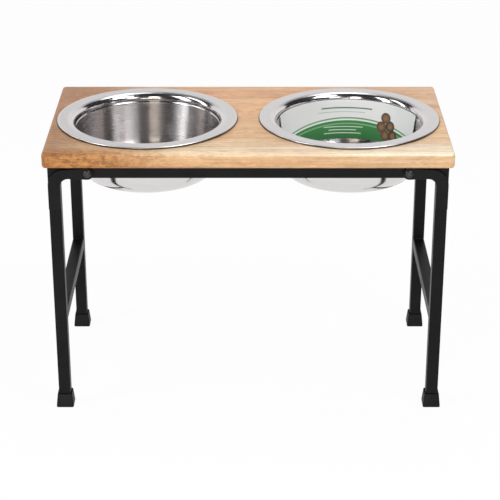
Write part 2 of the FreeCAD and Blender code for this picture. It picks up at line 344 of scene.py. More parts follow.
def bowl(side):
    """Line of the sheet, spun about the bowl's axis and given its thickness."""
    corners, bends = bowl_profile(side)
    points = bent_line(corners, bends)
    shell = first_point(f"{side}_steel_bowl", points[0])
    draw(points)
    bpy.ops.mesh.select_all(action="SELECT")
    bpy.ops.mesh.spin(steps=BOWL_STEPS, angle=FULL_TURN, center=corners[0], axis=(0, 0, 1))
    bpy.ops.mesh.select_all(action="SELECT")
    bpy.ops.mesh.remove_doubles(threshold=CLOSE)
    turn_faces_out()
    apply_modifier(shell, "SOLIDIFY", thickness=SHEET, offset=0, use_even_offset=True)
    lay_round_map(shell, corners[0])
    smooth(shell)
    return shell


def lay_round_map(piece, axis):
    """Map whose U goes round the axis and whose V goes up it."""
    edit(piece)
    mesh = bmesh.from_edit_mesh(piece.data)
    layer = mesh.loops.layers.uv.new("round")
    for face in mesh.faces:
        middle_turn = math.atan2(*(face.calc_center_median() - axis).yx)
        for loop in face.loops:
            arm = loop.vert.co - axis
            turn = math.atan2(arm.y, arm.x)
            turn += FULL_TURN * round((middle_turn - turn) / FULL_TURN)
            loop[layer].uv = (turn / FULL_TURN, loop.vert.co.z)
    bmesh.update_edit_mesh(piece.data)
    put_down()


# Card

def card():
    """Printed card, curved round the back of the right bowl, with a straight cut between two end tabs."""
    low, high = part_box("card_insert")
    bowl_middle, _, _ = bowl_place("right")
    axis = Vector((bowl_middle.x, bowl_middle.y, 0))
    lower_edge = [vert.co.y for vert in nodes["card_insert"].data.vertices if vert.co.z < low.z + CLOSE]
    top_r = high.y - axis.y - CARD_THICKNESS / 2
    foot_r = max(lower_edge) - axis.y - CARD_THICKNESS / 2
    start_turn = math.pi / 2 + CARD_TURN / 2
    cut_height = low.z + (high.z - low.z) * CARD_CUT_ROWS / CARD_ROWS

    def at(share):
        radius = foot_r + (top_r - foot_r) * share
        height = low.z + (high.z - low.z) * share
        return axis + Vector((radius * math.cos(start_turn), radius * math.sin(start_turn), height))

    def in_cut(face):
        place = face.calc_center_median() - axis
        from_middle = abs(math.atan2(place.y, place.x) - math.pi / 2)
        return place.z < cut_height and from_middle < CARD_TURN / 2 - CARD_TAB_TURN

    points = [at(row / CARD_ROWS) for row in range(CARD_ROWS + 1)]
    sheet = first_point("bowl_card", points[0])
    draw(points)
    bpy.ops.mesh.select_all(action="SELECT")
    bpy.ops.mesh.spin(steps=CARD_STEPS, angle=CARD_TURN, center=axis, axis=(0, 0, 1))
    choose(sheet, "FACE", in_cut)
    bpy.ops.mesh.delete(type="FACE")
    turn_faces_out()
    apply_modifier(sheet, "SOLIDIFY", thickness=CARD_THICKNESS, offset=0)
    lay_print_map(sheet, axis, start_turn, low.z, high.z)
    smooth(sheet)
    return sheet


def lay_print_map(sheet, axis, start_turn, foot, top):
    """Map across and up the card; the inner face takes the print and the rest the plain finish."""
    edit(sheet)
    mesh = bmesh.from_edit_mesh(sheet.data)
    layer = mesh.loops.layers.uv.new("print")
    for face in mesh.faces:
        inner = face.normal.xy.dot((face.calc_center_median() - axis).xy) < 0
        face.material_index = 0 if inner else 1
        for loop in face.loops:
            arm = loop.vert.co - axis
            across = (start_turn - math.atan2(arm.y, arm.x)) / CARD_TURN
            loop[layer].uv = (across, (loop.vert.co.z - foot) / (top - foot))
    bmesh.update_edit_mesh(sheet.data)


# Feet and welds

def foot_cap(side, end):
    """Flared cap with a rounded lip round the leg."""
    low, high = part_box(f"{side}_{end}_foot")
    centre = (low + high) / 2
    socket_floor = high.z - FOOT_SOCKET_DEPTH

    def is_eased(edge):
        bent = edge.is_manifold and edge.calc_face_angle() > CREASE_ANGLE
        return is_level(edge) and bent and abs(middle(edge).z - socket_floor) > MM

    cap = block(f"{side}_{end}_foot_cap", low, Vector((high.x, high.y, low.z + FOOT_BAND)))
    edit(cap)
    choose(cap, "FACE", faces_up)
    drag((0, 0, high.z - low.z - FOOT_BAND))
    bpy.ops.transform.resize(
        value=(FOOT_TOP_SHARE, FOOT_TOP_SHARE, 1), center_override=(centre.x, centre.y, high.z))
    choose(cap, "EDGE", is_steep)
    ease(FOOT_CORNER, FOOT_CORNER_STEPS)
    choose(cap, "FACE", faces_up)
    bpy.ops.mesh.inset(thickness=FOOT_LIP)
    drag((0, 0, -FOOT_SOCKET_DEPTH))
    choose(cap, "EDGE", is_eased)
    ease(FOOT_EASE, FOOT_EASE_STEPS)
    smooth(cap)
    return cap


def weld_bead(name, start, end):
    """Rippled bead: a ring drawn along the seam, swelling and shrinking from step to step."""
    run = end - start
    put_down()
    bpy.ops.mesh.primitive_circle_add(
        vertices=BEAD_SIDES, radius=BEAD_RADIUS, fill_type="NGON",
        location=start, rotation=run.to_track_quat("Z", "Y").to_euler())
    bead = named(name)
    apply_place()
    edit(bead)
    bpy.ops.mesh.select_all(action="SELECT")
    steps = 2 * BEAD_RIPPLES
    for step in range(1, steps + 1):
        drag(run / steps)
        grown = BEAD_SWELL if step % 2 else 1 / BEAD_SWELL
        place = start + run * (step / steps)
        bpy.ops.transform.resize(value=(grown, grown, grown), center_override=place)
    turn_faces_out()
    apply_modifier(bead, "SUBSURF", levels=1, render_levels=1)
    smooth(bead, BEAD_SMOOTH_ANGLE)
    return bead


def bead_along_x(name, low_x, high_x, y, z):
    return weld_bead(name, Vector((low_x, y, z)), Vector((high_x, y, z)))


def weld_beads(side):
    """Beads where the stretcher meets the legs and where the brackets end on them."""
    beads = []
    low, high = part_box(f"{side}_stretcher")
    for end in ENDS:
        seam_y = low.y if end == "front" else high.y
        for level, seam_z in (("lower", low.z), ("upper", high.z)):
            beads.append(bead_along_x(
                f"{side}_{end}_{level}_weld",
                low.x + STRETCHER_BEAD_INSET, high.x - STRETCHER_BEAD_INSET, seam_y, seam_z))
        plate_low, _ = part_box(f"{side}_{end}_bracket")
        leg_low, leg_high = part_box(f"{side}_{end}_leg")
        leg_face = leg_low.y if end == "front" else leg_high.y
        beads.append(bead_along_x(
            f"{side}_{end}_bracket_weld",
            leg_low.x + BRACKET_BEAD_INSET, leg_high.x - BRACKET_BEAD_INSET, leg_face, plate_low.z))
    return beads


# Finishes: small helpers for their nodes

def add(tree, kind, inputs=None, **settings):
    """A node with its settings; each input is a value or another node's output."""
    made = tree.nodes.new(kind)
    for name, value in settings.items():
        setattr(made, name, value)
    for name, value in (inputs or {}).items():
        set_input(tree, made.inputs[name], value)
    return made


def set_input(tree, socket, value):
    if isinstance(value, bpy.types.NodeSocket):
        tree.links.new(value, socket)
    else:
        socket.default_value = value


def maths(tree, operation, *values, clamp=False):
    inputs = dict(enumerate(values))
    return add(tree, "ShaderNodeMath", inputs, operation=operation, use_clamp=clamp).outputs[0]


def plus(tree, first, second, clamp=False):
    return maths(tree, "ADD", first, second, clamp=clamp)


def minus(tree, first, second):
    return maths(tree, "SUBTRACT", first, second)


def times(tree, first, *others):
    for other in others:
        first = maths(tree, "MULTIPLY", first, other)
    return first


def spread(tree, value, width, start):
    """A value from 0 to 1, spread over a width from a start."""
    return maths(tree, "MULTIPLY_ADD", value, width, start)


def apart(tree, first, second):
    return maths(tree, "ABSOLUTE", minus(tree, first, second))


def long_side(tree, first, second):
    """Length of the slanting side over two square ones."""
    return maths(tree, "SQRT", plus(tree, times(tree, first, first), times(tree, second, second)))


def between(tree, value, low, high, least=0.0, most=1.0):
    """Smooth step from the least to the most as a value goes from low to high; low may be the larger."""
    inputs = {0: value, 1: low, 2: high, 3: least, 4: most}
    return add(tree, "ShaderNodeMapRange", inputs, interpolation_type="SMOOTHSTEP").outputs[0]


def share_of(tree, value, low, high):
    """Share of the way from low to high, also past the two."""
    return add(tree, "ShaderNodeMapRange", {0: value, 1: low, 2: high}, clamp=False).outputs[0]


def blended(tree, share, first, second):
    """Value between two others."""
    return add(tree, "ShaderNodeMix", {0: share, 2: first, 3: second}).outputs[0]


def mixed(tree, share, first, second, blend_type="MIX"):
    """Colour between two others."""
    inputs = {0: share, 6: first, 7: second}
    made = add(tree, "ShaderNodeMix", inputs, data_type="RGBA", blend_type=blend_type)
    return made.outputs[2]


def tinted(tree, share, tone, tint):
    """Colour multiplied by a tint, where the share says so."""
    return mixed(tree, share, tone, tint, "MULTIPLY")


def stretched(tree, place, scale, location=(0, 0, 0), rotation=(0, 0, 0)):
    inputs = {"Vector": place, "Scale": scale, "Location": location, "Rotation": rotation}
    return add(tree, "ShaderNodeMapping", inputs).outputs[0]


def noise(tree, place, scale=1.0, detail=3.0, roughness=0.5, distortion=0.0):
    inputs = {"Vector": place, "Scale": scale, "Detail": detail, "Roughness": roughness,
              "Distortion": distortion}
    return add(tree, "ShaderNodeTexNoise", inputs).outputs["Fac"]


def grain(tree, place, along, across, detail=3.0, roughness=0.5, shift=(0, 0, 0)):
    """Noise drawn out along X, with the number of its changes in a metre along and across."""
    lengthened = stretched(tree, place, (along, across, across), location=shift)
    return noise(tree, lengthened, detail=detail, roughness=roughness)


def object_place(tree):
    return add(tree, "ShaderNodeTexCoord").outputs["Object"]


def split(tree, place):
    return add(tree, "ShaderNodeSeparateXYZ", {0: place}).outputs


def join(tree, x, y, z):
    return add(tree, "ShaderNodeCombineXYZ", {0: x, 1: y, 2: z}).outputs[0]


def bumped(tree, height, distance, strength):
    inputs = {"Height": height, "Distance": distance, "Strength": strength}
    return add(tree, "ShaderNodeBump", inputs).outputs[0]


def empty_material(name):
    finish = bpy.data.materials.new(name)
    finish.use_nodes = True
    finish.node_tree.nodes.clear()
    return finish, finish.node_tree


def new_finish(name):
    """A material with its shader and output."""
    finish, tree = empty_material(name)
    surface = add(tree, "ShaderNodeBsdfPrincipled")
    add(tree, "ShaderNodeOutputMaterial", {"Surface": surface.outputs[0]})
    return finish, tree, surface


def join_to(tree, surface, **sockets):
    """Joins outputs to, or sets values on, the shader's sockets: underscores stand for spaces."""
    for name, value in sockets.items():
        set_input(tree, surface.inputs[name.replace("_", " ")], value)


def new_group(name, inputs, outputs):
    """A node group with named number inputs and outputs."""
    tree = bpy.data.node_groups.new(name, "ShaderNodeTree")
    for label, default in inputs.items():
        socket = tree.interface.new_socket(label, in_out="INPUT", socket_type="NodeSocketFloat")
        socket.default_value = default
    for label in outputs:
        tree.interface.new_socket(label, in_out="OUTPUT", socket_type="NodeSocketFloat")
    start = add(tree, "NodeGroupInput")
    end = add(tree, "NodeGroupOutput")
    return tree, start.outputs, end


def use_group(tree, group, **values):
    made = add(tree, "ShaderNodeGroup", node_tree=group)
    for name, value in values.items():
        made.inputs[name].default_value = value
    return made.outputs


# Effects that several finishes share

def edge_rub_group():
    """Mask along worn edges, broken up by noise."""
    tree, given, end = new_group(
        "edge rub", {"Width": 0.8 * MM, "Breaks": 180.0, "Amount": 1.0}, ["Mask"])
    flat = add(tree, "ShaderNodeNewGeometry").outputs["Normal"]
    eased = add(tree, "ShaderNodeBevel", {"Radius": given["Width"]}, samples=6).outputs[0]
    compared = add(tree, "ShaderNodeVectorMath", {0: flat, 1: eased}, operation="DOT_PRODUCT")
    edge = between(tree, minus(tree, 1.0, compared.outputs["Value"]), 0.02, 0.2)
    cloud = noise(tree, object_place(tree), given["Breaks"], detail=4.0, roughness=0.6)
    breaks = between(tree, cloud, 0.42, 0.68)
    tree.links.new(times(tree, edge, breaks, given["Amount"]), end.inputs["Mask"])
    return tree


def handling_group():
    """Slow clouds and short wipes that vary a surface's gloss."""
    tree, given, end = new_group("handling marks", {"Scale": 14.0, "Depth": 1.0}, ["Gloss", "Cloud"])
    place = object_place(tree)
    cloud = noise(tree, place, given["Scale"], detail=4.0, roughness=0.55, distortion=0.4)
    slanted = stretched(tree, place, (9.0, 70.0, 70.0), rotation=(0.3, 0.2, 0.5))
    wipes = noise(tree, slanted, roughness=0.6)
    marks = minus(tree, blended(tree, 0.35, cloud, wipes), 0.5)
    tree.links.new(times(tree, marks, given["Depth"]), end.inputs["Gloss"])
    tree.links.new(cloud, end.inputs["Cloud"])
    return tree


EDGE_RUB = edge_rub_group()
HANDLING = handling_group()


# Colours and tints

def rgb(red, green, blue):
    return (red, green, blue, 1)


WHITE = rgb(1, 1, 1)

WOOD_BROWN = rgb(0.63, 0.345, 0.18)
WOOD_HONEY = rgb(0.82, 0.50, 0.265)
WOOD_MOTTLE = rgb(0.52, 0.28, 0.145)
WOOD_BLUSH = rgb(0.74, 0.42, 0.27)
WOOD_STREAK = rgb(0.80, 0.55, 0.32)
WOOD_THREAD = rgb(0.42, 0.23, 0.12)
WOOD_RING = rgb(0.50, 0.275, 0.13)
WOOD_FLECK = rgb(0.24, 0.095, 0.028)
WOOD_PORE = rgb(0.30, 0.15, 0.06)
# painted shadow of the bowls' rims on the wood
WOOD_RIM_SHADOW = rgb(0.10, 0.05, 0.025)
FIBRE_TINTS = rgb(0.84, 0.80, 0.75), rgb(1.08, 1.08, 1.08)
SPECKLE_TINTS = rgb(0.80, 0.72, 0.64), rgb(1.09, 1.10, 1.11)
# darker left end, its depth partly painted shade
LEFT_SHADE_TINT = rgb(0.68, 0.61, 0.54)
MIDDLE_TINT = rgb(1.03, 1.04, 1.06)
RIGHT_TINT = rgb(1.02, 1.08, 1.16)
# painted shade at the left rear and on the top beside the left bowl
FAR_LEFT_SHADE = rgb(0.86, 0.80, 0.77)
NEAR_LEFT_SHADE = rgb(0.77, 0.73, 0.71)
BACK_TINT = rgb(0.97, 0.95, 1.0)
FRONT_TINT = rgb(1.02, 1.07, 1.05)
# painted sheen on the front of the top
SHEEN_TINT = rgb(1.16, 1.44, 1.88)
FLECKED_TINT = rgb(0.96, 0.74, 0.42)

PAINT_BLACK = rgb(0.0042, 0.0040, 0.0048)
PAINT_CLOUD = rgb(0.00756, 0.0072, 0.00864)
PAINT_RUBBED = rgb(0.10, 0.098, 0.10)
PLASTIC_TONES = rgb(0.006, 0.0058, 0.0062), rgb(0.011, 0.0106, 0.0112)
PLASTIC_SCUFF = rgb(0.05, 0.049, 0.05)
STEEL_TONES = rgb(0.635, 0.61, 0.61), rgb(0.755, 0.73, 0.735)
# painted shade for the bowl's inside
STEEL_INSIDE_SHADE = rgb(0.80, 0.79, 0.78)
# painted shade on the rim's outer face
STEEL_RIM_SHADE = rgb(0.10, 0.085, 0.075)
ZINC_TONES = rgb(0.52, 0.53, 0.55), rgb(0.68, 0.68, 0.67)
BOLT_TONES = rgb(0.010, 0.010, 0.011), rgb(0.024, 0.024, 0.026)

CARD_WHITE = rgb(0.92, 0.925, 0.915)
CARD_GREENS = rgb(0.030, 0.165, 0.045), rgb(0.055, 0.26, 0.075)
CARD_LINE_ABOVE = rgb(0.16, 0.42, 0.17)
CARD_LINE_BELOW = rgb(0.22, 0.50, 0.24)
CARD_DARK_BAR = rgb(0.10, 0.24, 0.16)
CARD_GREY_BAR = rgb(0.55, 0.63, 0.58)
CARD_PALE_BAR = rgb(0.66, 0.80, 0.66)
CARD_TINTS = rgb(0.95, 0.95, 0.95), rgb(1.03, 1.03, 1.03)
BISCUIT = rgb(0.30, 0.165, 0.085)
BISCUIT_EDGES = rgb(0.12, 0.065, 0.038), rgb(0.055, 0.032, 0.022)
PULP_TONES = rgb(0.60, 0.58, 0.54), rgb(0.74, 0.73, 0.70)
PULP_FLECK = rgb(0.38, 0.34, 0.30)


# Wood

RING_PITCH = 13.0 * MM
PITH_BACK = 35.0 * MM            # behind the board's middle line
PITH_DEPTH = 90.0 * MM           # below the board's top
PITH_DRIFT_Y = 75.0 * MM
PITH_DRIFT_Z = 50.0 * MM
RING_WAVER = 4.0 * MM
TOP_SKIN = 5.0 * MM              # depth over which a change on the board's top fades out
TOP_WHOLE = 0.5 * MM             # depth down to which it is whole
RIM_SHADOW_REACH = 1.6 * MM            # painted shadow: dark line on the wood round a bowl's rim
RIM_SHADOW_CORE = 0.4 * MM


def growth_rings(tree, place):
    """Place in the growth ring, from 0 to 1, and a mask of its late wood; the rings lie about a pith."""
    low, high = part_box("wood_top")
    _, y, z = split(tree, place)
    wander = add(tree, "ShaderNodeTexNoise", {
        "Vector": stretched(tree, place, (1.0, 1.6, 1.6)), "Scale": 3.1, "Detail": 2.0, "Roughness": 0.5})
    drift_y, drift_z, _ = split(tree, wander.outputs["Color"])
    from_pith_y = minus(tree, y, (low.y + high.y) / 2 + PITH_BACK)
    from_pith_z = minus(tree, z, high.z - PITH_DEPTH)
    reach = long_side(
        tree, plus(tree, from_pith_y, times(tree, drift_y, PITH_DRIFT_Y)),
        plus(tree, from_pith_z, times(tree, drift_z, PITH_DRIFT_Z)))
    waver = times(tree, grain(tree, place, 7.0, 30.0, roughness=0.55), RING_WAVER)
    phase = maths(tree, "FRACT", maths(tree, "DIVIDE", plus(tree, reach, waver), RING_PITCH))
    late = times(tree, between(tree, phase, 0.25, 0.9), between(tree, phase, 1.0, 0.92))
    return phase, late


def wood_tone(tree, place, late, fibres, clouds):
    """Warm ground with mottle, blush, streaks, dark threads, rings and fibres."""
    streaks = grain(tree, place, 2.4, 55.0, 4.0, 0.6)
    blush = grain(tree, place, 9.0, 26.0, shift=(3.0, 1.0, 0.0))
    threads = grain(tree, place, 4.0, 190.0, roughness=0.6, shift=(0.0, 5.0, 0.0))
    mottle = grain(tree, place, 55.0, 150.0, 4.0, 0.6, shift=(7.0, 2.0, 0.0))
    tone = mixed(tree, between(tree, clouds, 0.34, 0.66), WOOD_BROWN, WOOD_HONEY)
    tone = mixed(tree, between(tree, mottle, 0.46, 0.68, most=0.6), tone, WOOD_MOTTLE)
    tone = mixed(tree, between(tree, blush, 0.5, 0.72, most=0.6), tone, WOOD_BLUSH)
    tone = mixed(tree, between(tree, streaks, 0.38, 0.75, most=0.8), tone, WOOD_STREAK)
    tone = mixed(tree, between(tree, threads, 0.57, 0.72, most=0.5), tone, WOOD_THREAD)
    ring_depth = between(tree, streaks, 0.3, 0.7, least=0.08, most=0.34)
    tone = mixed(tree, times(tree, late, ring_depth), tone, WOOD_RING)
    return tinted(tree, 1.0, tone, mixed(tree, between(tree, fibres, 0.3, 0.75), *FIBRE_TINTS))


def drifted_wood(tree, place, tone):
    """Board darker to the left, its depth partly painted shade, and paler to the right and along its front,
    with painted shade at the left rear and beside the left bowl, a painted sheen on the front of the top,
    and flecks at the front left.
    """
    low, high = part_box("wood_top")
    x, y, z = split(tree, place)
    along = share_of(tree, x, low.x, high.x)
    back = share_of(tree, y, low.y, high.y)
    on_top = between(tree, z, high.z - TOP_SKIN, high.z - TOP_WHOLE)

    # darker to the left, partly painted shade
    tone = tinted(tree, 1.0, tone, mixed(tree, between(tree, along, 0.0, 0.5), LEFT_SHADE_TINT, MIDDLE_TINT))
    # painted shade at the left rear
    far_left_shade = times(tree, between(tree, along, 0.26, 0.02), between(tree, back, 0.19, 0.85))
    tone = tinted(tree, far_left_shade, tone, FAR_LEFT_SHADE)
    # painted shade on the top beside the left bowl
    near_left_shade = times(tree, between(tree, along, 0.12, 0.01), between(tree, back, 0.69, 0.35), on_top)
    tone = tinted(tree, near_left_shade, tone, NEAR_LEFT_SHADE)
    tone = tinted(tree, between(tree, along, 0.5, 0.94), tone, RIGHT_TINT)
    tone = tinted(tree, 1.0, tone, mixed(tree, between(tree, back, 0.88, 0.0), BACK_TINT, FRONT_TINT))
    # painted sheen: the front of the top whitened
    painted_sheen = times(tree, between(tree, back, 0.27, 0.02), on_top, between(tree, along, 0.0, 0.26, least=0.15))
    tone = tinted(tree, painted_sheen, tone, SHEEN_TINT)

    flecked = times(tree, between(tree, along, 0.34, 0.1), between(tree, back, 0.115, 0.0))
    tone = tinted(tree, flecked, tone, FLECKED_TINT)
    flecks = noise(tree, stretched(tree, place, (130.0, 220.0, 260.0)), detail=4.0, roughness=0.65)
    tone = mixed(tree, times(tree, between(tree, flecks, 0.46, 0.60, most=0.8), flecked), tone, WOOD_FLECK)
    speckle = grain(tree, place, 150.0, 330.0, 4.0, 0.7, shift=(2.0, 9.0, 0.0))
    speckle_tint = mixed(tree, between(tree, speckle, 0.32, 0.66), *SPECKLE_TINTS)
    return tinted(tree, between(tree, along, 0.54, 0.1, least=0.35), tone, speckle_tint)


def painted_rim_shadows(tree, place, tone):
    """Painted shadow: a thin dark line on the wood round the rim of each bowl."""
    x, y, _ = split(tree, place)
    for side in SIDES:
        centre, rim, _ = bowl_place(side)
        from_rim = apart(tree, long_side(tree, minus(tree, x, centre.x), y), rim)
        tone = mixed(tree, between(tree, from_rim, RIM_SHADOW_REACH, RIM_SHADOW_CORE, most=0.7), tone, WOOD_RIM_SHADOW)
    return tone


def wood_finish():
    """Pale oiled hardwood, grain along X: growth rings, fibres, pores and flecks."""
    finish, tree, surface = new_finish("oiled_hardwood")
    place = object_place(tree)
    fibres = grain(tree, place, 9.0, 420.0, roughness=0.65)
    clouds = grain(tree, place, 6.0, 16.0, 4.0, 0.6)
    phase, late = growth_rings(tree, place)
    cells = add(tree, "ShaderNodeTexVoronoi", {
        "Vector": stretched(tree, place, (75.0, 620.0, 620.0)), "Scale": 1.0, "Randomness": 1.0})
    pores = times(tree, between(tree, cells.outputs["Distance"], 0.3, 0.14),
                  between(tree, phase, 0.35, 0.0), between(tree, clouds, 0.36, 0.6))

    tone = drifted_wood(tree, place, wood_tone(tree, place, late, fibres, clouds))
    tone = mixed(tree, times(tree, pores, 0.85), tone, WOOD_PORE)
    # painted shadow round each bowl's rim
    tone = painted_rim_shadows(tree, place, tone)
    gloss = use_group(tree, HANDLING, Scale=11.0, Depth=0.25)["Gloss"]
    rough = plus(tree, spread(tree, fibres, 0.14, 0.42), gloss, clamp=True)
    relief = minus(tree, plus(tree, times(tree, late, 0.25), times(tree, fibres, 0.5)), pores)
    join_to(tree, surface, Base_Color=tone, Roughness=rough, Normal=bumped(tree, relief, 0.12 * MM, 0.6),
            Specular_IOR_Level=0.35, Coat_Weight=0.16, Coat_Roughness=0.3)
    return finish


# Paint, plastic and metal

def paint_finish(name, rough, grit):
    """Black powder paint: fine orange peel, soft gloss changes and grey rubbed edges."""
    finish, tree, surface = new_finish(name)
    place = object_place(tree)
    peel = noise(tree, place, 1500.0, detail=2.0)
    lumps = noise(tree, place, 420.0, detail=2.0)
    handling = use_group(tree, HANDLING, Scale=18.0, Depth=0.3)
    rubbed = use_group(tree, EDGE_RUB, Width=0.9 * MM, Breaks=150.0, Amount=0.55)["Mask"]
    tone = mixed(tree, between(tree, handling["Cloud"], 0.3, 0.75), PAINT_BLACK, PAINT_CLOUD)
    tone = mixed(tree, rubbed, tone, PAINT_RUBBED)
    gloss = plus(tree, spread(tree, peel, 0.12, rough), handling["Gloss"], clamp=True)
    normal = bumped(tree, plus(tree, peel, lumps), grit, 0.5)
    join_to(tree, surface, Base_Color=tone, Roughness=gloss, Normal=normal, Specular_IOR_Level=0.13)
    return finish


def foot_finish():
    """Moulded black plastic with a fine spark texture and scuffed edges."""
    finish, tree, surface = new_finish("moulded_black_plastic")
    place = object_place(tree)
    spark = noise(tree, place, 2200.0, roughness=0.7)
    flow = noise(tree, stretched(tree, place, (60.0, 60.0, 25.0)))
    handling = use_group(tree, HANDLING, Scale=40.0, Depth=0.25)
    scuffed = use_group(tree, EDGE_RUB, Width=0.7 * MM, Breaks=260.0, Amount=0.5)["Mask"]
    tone = mixed(tree, between(tree, flow, 0.35, 0.7), *PLASTIC_TONES)
    tone = mixed(tree, scuffed, tone, PLASTIC_SCUFF)
    rough = plus(tree, spread(tree, spark, 0.2, 0.42), handling["Gloss"], clamp=True)
    join_to(tree, surface, Base_Color=tone, Roughness=rough, Normal=bumped(tree, spark, 0.05 * MM, 0.6),
            Specular_IOR_Level=0.14)
    return finish


RING_LENGTH = 1.5 * MM           # pattern passed in a radian: little, so that a line runs far round
SATIN_FROM = 2.2 * MM            # depths below the flange's top
SATIN_WHOLE = 0.8 * MM
# depth from which painted shade darkens the bowl's inside
INSIDE_SHADE_FROM = 2.0 * MM
# depths of the painted shade on the rim's outer face
RIM_SHADE_FROM = 0.5 * MM
RIM_SHADE_WHOLE = 1.1 * MM
WALL_FROM = 1.0 * MM             # depths below the shoulder
WALL_WHOLE = 3.0 * MM
RIM_SHADE_IN = 1.6 * MM               # painted shade on the rim's outer face, in from the rim
RIM_SHADE_OUT = 0.5 * MM
FLOOR_WEIGHT = 0.05              # how much facing up counts as facing in


def steel_finish(side):
    """Stainless sheet with spun lines: satin flange, bright throat, brushed wall, painted shade inside and
    on the rim's outer face.
    """
    finish, tree, surface = new_finish(f"{side}_spun_steel")
    centre, rim, top = bowl_place(side)
    shoulder = top - SHOULDER_DEPTH
    x, y, z = split(tree, object_place(tree))
    x = minus(tree, x, centre.x)
    reach = long_side(tree, x, y)
    turn = maths(tree, "ARCTAN2", y, x)
    round_place = join(tree, times(tree, turn, RING_LENGTH), reach, z)
    fine = noise(tree, round_place, 5200.0, detail=2.0, roughness=0.7)
    coarse = noise(tree, round_place, 900.0, roughness=0.6)
    rings = blended(tree, 0.4, fine, coarse)

    facing_x, facing_y, facing_z = split(tree, add(tree, "ShaderNodeNewGeometry").outputs["Normal"])
    outwards = plus(tree, times(tree, facing_x, x), times(tree, facing_y, y))
    inside = between(tree, minus(tree, times(tree, facing_z, FLOOR_WEIGHT), outwards), 0.0, MM)
    satin = between(tree, z, top - SATIN_FROM, top - SATIN_WHOLE)
    wall = times(tree, between(tree, z, shoulder - WALL_FROM, shoulder - WALL_WHOLE),
                 between(tree, outwards, 0.0, -MM))
    # painted shade: the inside darker below the flange, down to the shoulder and past it
    inside_shade = times(tree, inside, between(tree, z, top - INSIDE_SHADE_FROM, shoulder))
    # painted shade: the rim's outer face darkened where it meets the board
    edge = times(tree, between(tree, reach, rim - RIM_SHADE_IN, rim - RIM_SHADE_OUT),
                 between(tree, z, top - RIM_SHADE_FROM, top - RIM_SHADE_WHOLE))

    polished = spread(tree, rings, 0.08, 0.11)
    brushed = spread(tree, rings, 0.20, 0.24)
    spun = spread(tree, rings, 0.10, 0.23)
    rough = blended(tree, wall, blended(tree, satin, polished, brushed), spun)
    gloss = use_group(tree, HANDLING, Scale=16.0, Depth=0.06)["Gloss"]
    tone = mixed(tree, between(tree, rings, 0.25, 0.75), *STEEL_TONES)
    tone = tinted(tree, inside_shade, tone, STEEL_INSIDE_SHADE)
    tone = mixed(tree, edge, tone, STEEL_RIM_SHADE)
    around = add(tree, "ShaderNodeTangent", direction_type="UV_MAP", uv_map="round").outputs[0]
    join_to(tree, surface, Base_Color=tone, Metallic=1.0, Roughness=plus(tree, rough, gloss, clamp=True),
            Tangent=around, Anisotropic=spread(tree, wall, 0.55, 0.45), Anisotropic_Rotation=0.25,
            Normal=bumped(tree, rings, 0.003 * MM, 0.2))
    return finish


def zinc_finish():
    """Zinc-plated fasteners: bluish grey with dull patches."""
    finish, tree, surface = new_finish("bright_zinc")
    place = object_place(tree)
    bloom = noise(tree, place, 260.0, detail=4.0, roughness=0.6)
    turned = noise(tree, stretched(tree, place, (900.0, 900.0, 5000.0)), detail=2.0, roughness=0.6)
    tone = mixed(tree, between(tree, bloom, 0.35, 0.7), *ZINC_TONES)
    join_to(tree, surface, Base_Color=tone, Metallic=1.0, Roughness=spread(tree, bloom, 0.3, 0.16),
            Normal=bumped(tree, turned, 0.02 * MM, 0.4))
    return finish


def black_steel_finish():
    """Blackened bolt heads with a soft shine."""
    finish, tree, surface = new_finish("blackened_steel")
    scale = noise(tree, object_place(tree), 3200.0, roughness=0.6)
    tone = mixed(tree, between(tree, scale, 0.3, 0.75), *BOLT_TONES)
    gloss = use_group(tree, HANDLING, Scale=90.0, Depth=0.08)["Gloss"]
    rough = plus(tree, spread(tree, scale, 0.06, 0.36), gloss, clamp=True)
    join_to(tree, surface, Base_Color=tone, Roughness=rough, Normal=bumped(tree, scale, 0.001 * MM, 0.1),
            Specular_IOR_Level=0.5)
    return finish


# Card: places on its print are shares of its length and of its height

WAVE_HEIGHT = 0.44
WAVE_SWELL = 0.10
WAVE_TURN = 5.2
WAVE_START = -1.2
WAVE_LINES = ((-0.055, CARD_LINE_ABOVE), (0.07, CARD_LINE_BELOW))       # depth under the wave
BARS = (                                                                # height, half width, start, end
    (0.82, 0.018, 0.36, 0.66, CARD_DARK_BAR),
    (0.73, 0.010, 0.34, 0.62, CARD_GREY_BAR),
    (0.40, 0.013, 0.37, 0.61, CARD_PALE_BAR),
    (0.33, 0.013, 0.40, 0.57, CARD_PALE_BAR),
    (0.26, 0.013, 0.37, 0.60, CARD_PALE_BAR),
)
BAR_END = 0.004
BISCUITS = ((0.755, 0.30), (0.81, 0.33), (0.725, 0.47), (0.785, 0.52), (0.75, 0.68))
BISCUIT_RADIUS = 0.125
BISCUIT_RIM = 0.01


def printed_field(tree, across, up):
    """White head over a green field, with a wave between them and a line on each side of it."""
    swell = maths(tree, "SINE", spread(tree, across, WAVE_TURN, WAVE_START))
    under = minus(tree, spread(tree, swell, WAVE_SWELL, WAVE_HEIGHT), up)
    green = mixed(tree, between(tree, up, 0.0, 0.5), *CARD_GREENS)
    tone = mixed(tree, between(tree, under, -0.006, 0.006), CARD_WHITE, green)
    for depth, colour in WAVE_LINES:
        tone = mixed(tree, between(tree, apart(tree, under, depth), 0.020, 0.012), tone, colour)
    return tone


def printed_bars(tree, across, up, tone):
    for height, half, start, end, colour in BARS:
        row = between(tree, apart(tree, up, height), half, half * 0.6)
        length = times(tree, between(tree, across, start, start + BAR_END),
                       between(tree, across, end, end - BAR_END))
        tone = mixed(tree, times(tree, row, length), tone, colour)
    return tone


